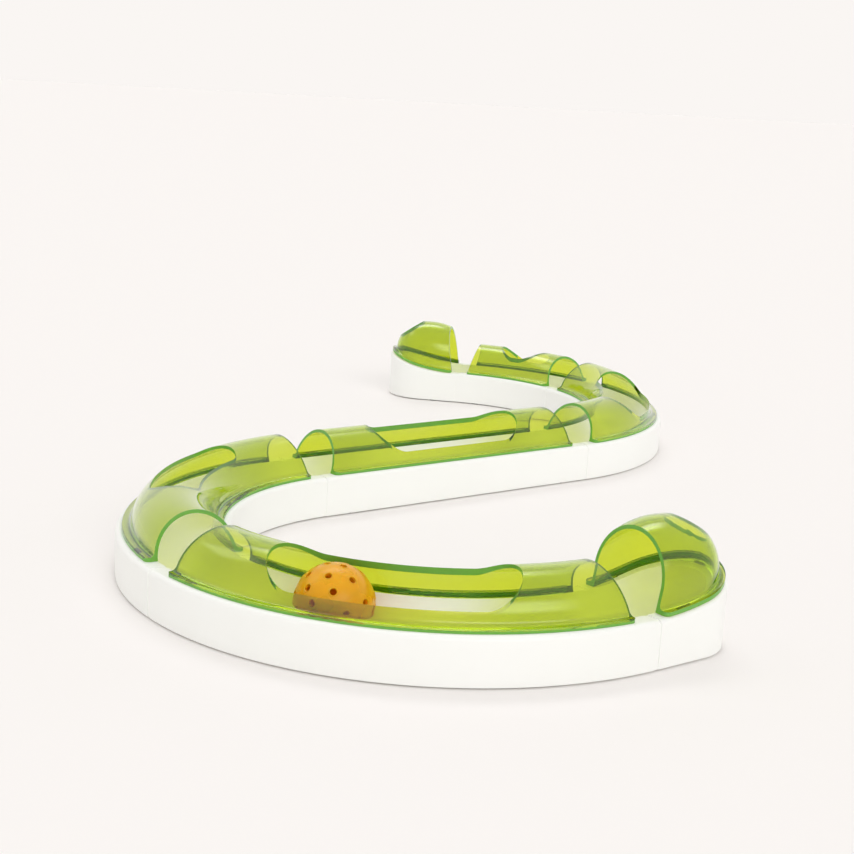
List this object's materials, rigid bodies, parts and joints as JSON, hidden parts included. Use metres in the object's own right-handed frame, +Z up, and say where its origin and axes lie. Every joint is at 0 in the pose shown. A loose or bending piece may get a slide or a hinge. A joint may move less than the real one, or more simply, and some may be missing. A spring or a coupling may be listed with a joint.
{
  "type": "cat ball track toy",
  "caption": "Ball track toy for a cat: white lane sections join into an S, clear tunnel covers with windows sit on them, and a holed ball rolls inside.",
  "frame": {"origin": "on the floor, in the middle of the track's plan", "axes": "+Z up, +Y along the length of the S from the front curve to the back, +X to the right"},
  "size_m": [0.3754, 0.7672, 0.0696],
  "materials": {
    "white_plastic": "satin moulded",
    "clear_green": "clear, polished",
    "orange_plastic": "part clear, polished",
    "foot_rubber": "matte",
    "bead_plastic": "plain"
  },
  "bodies": {
    "track": {"front_end_base": "white_plastic", "front_curve_base": "white_plastic", "left_curve_base": "white_plastic", "straight_base": "white_plastic", "right_curve_base": "white_plastic", "back_curve_base": "white_plastic", "back_end_base": "white_plastic", "front_end_feet": "foot_rubber", "front_curve_feet": "foot_rubber", "left_curve_feet": "foot_rubber", "straight_feet": "foot_rubber", "right_curve_feet": "foot_rubber", "back_curve_feet": "foot_rubber", "back_end_feet": "foot_rubber"},
    "front_end_lid": {"front_end_cover": "clear_green"},
    "front_curve_lid": {"front_curve_cover": "clear_green"},
    "left_curve_lid": {"left_curve_cover": "clear_green"},
    "straight_lid": {"straight_cover": "clear_green"},
    "right_curve_lid": {"right_curve_cover": "clear_green"},
    "back_curve_lid": {"back_curve_cover": "clear_green"},
    "back_end_lid": {"back_end_cover": "clear_green"},
    "ball_bead": {"rattle_bead": "bead_plastic"},
    "ball": {"ball_upper_half": "orange_plastic", "ball_lower_half": "orange_plastic"}
  },
  "joints": [
    {"name": "front_end_lift", "type": "slide", "parent": "track", "child": "front_end_lid", "axis": [0, 0, 1], "range_m": [0, 0.08]},
    {"name": "front_curve_lift", "type": "slide", "parent": "track", "child": "front_curve_lid", "axis": [0, 0, 1], "range_m": [0, 0.08]},
    {"name": "left_curve_lift", "type": "slide", "parent": "track", "child": "left_curve_lid", "axis": [0, 0, 1], "range_m": [0, 0.08]},
    {"name": "straight_lift", "type": "slide", "parent": "track", "child": "straight_lid", "axis": [0, 0, 1], "range_m": [0, 0.08]},
    {"name": "right_curve_lift", "type": "slide", "parent": "track", "child": "right_curve_lid", "axis": [0, 0, 1], "range_m": [0, 0.08]},
    {"name": "back_curve_lift", "type": "slide", "parent": "track", "child": "back_curve_lid", "axis": [0, 0, 1], "range_m": [0, 0.08]},
    {"name": "back_end_lift", "type": "slide", "parent": "track", "child": "back_end_lid", "axis": [0, 0, 1], "range_m": [0, 0.08]},
    {"name": "ball_travel", "type": "hinge", "parent": "track", "child": "ball_bead", "pos_m": [0.00024, -0.19558, 0.0258], "axis": [0, 0, 1], "range_deg": [-121, 53]},
    {"name": "ball_roll", "type": "hinge", "parent": "ball_bead", "child": "ball", "pos_m": [-0.05022, -0.34214, 0.0258], "axis": [-0.3256, -0.9455, 0], "continuous": true}
  ],
  "couplings": [
    {"joint": "ball_roll", "follows": "ball_travel", "ratio": -7.381}
  ]
}
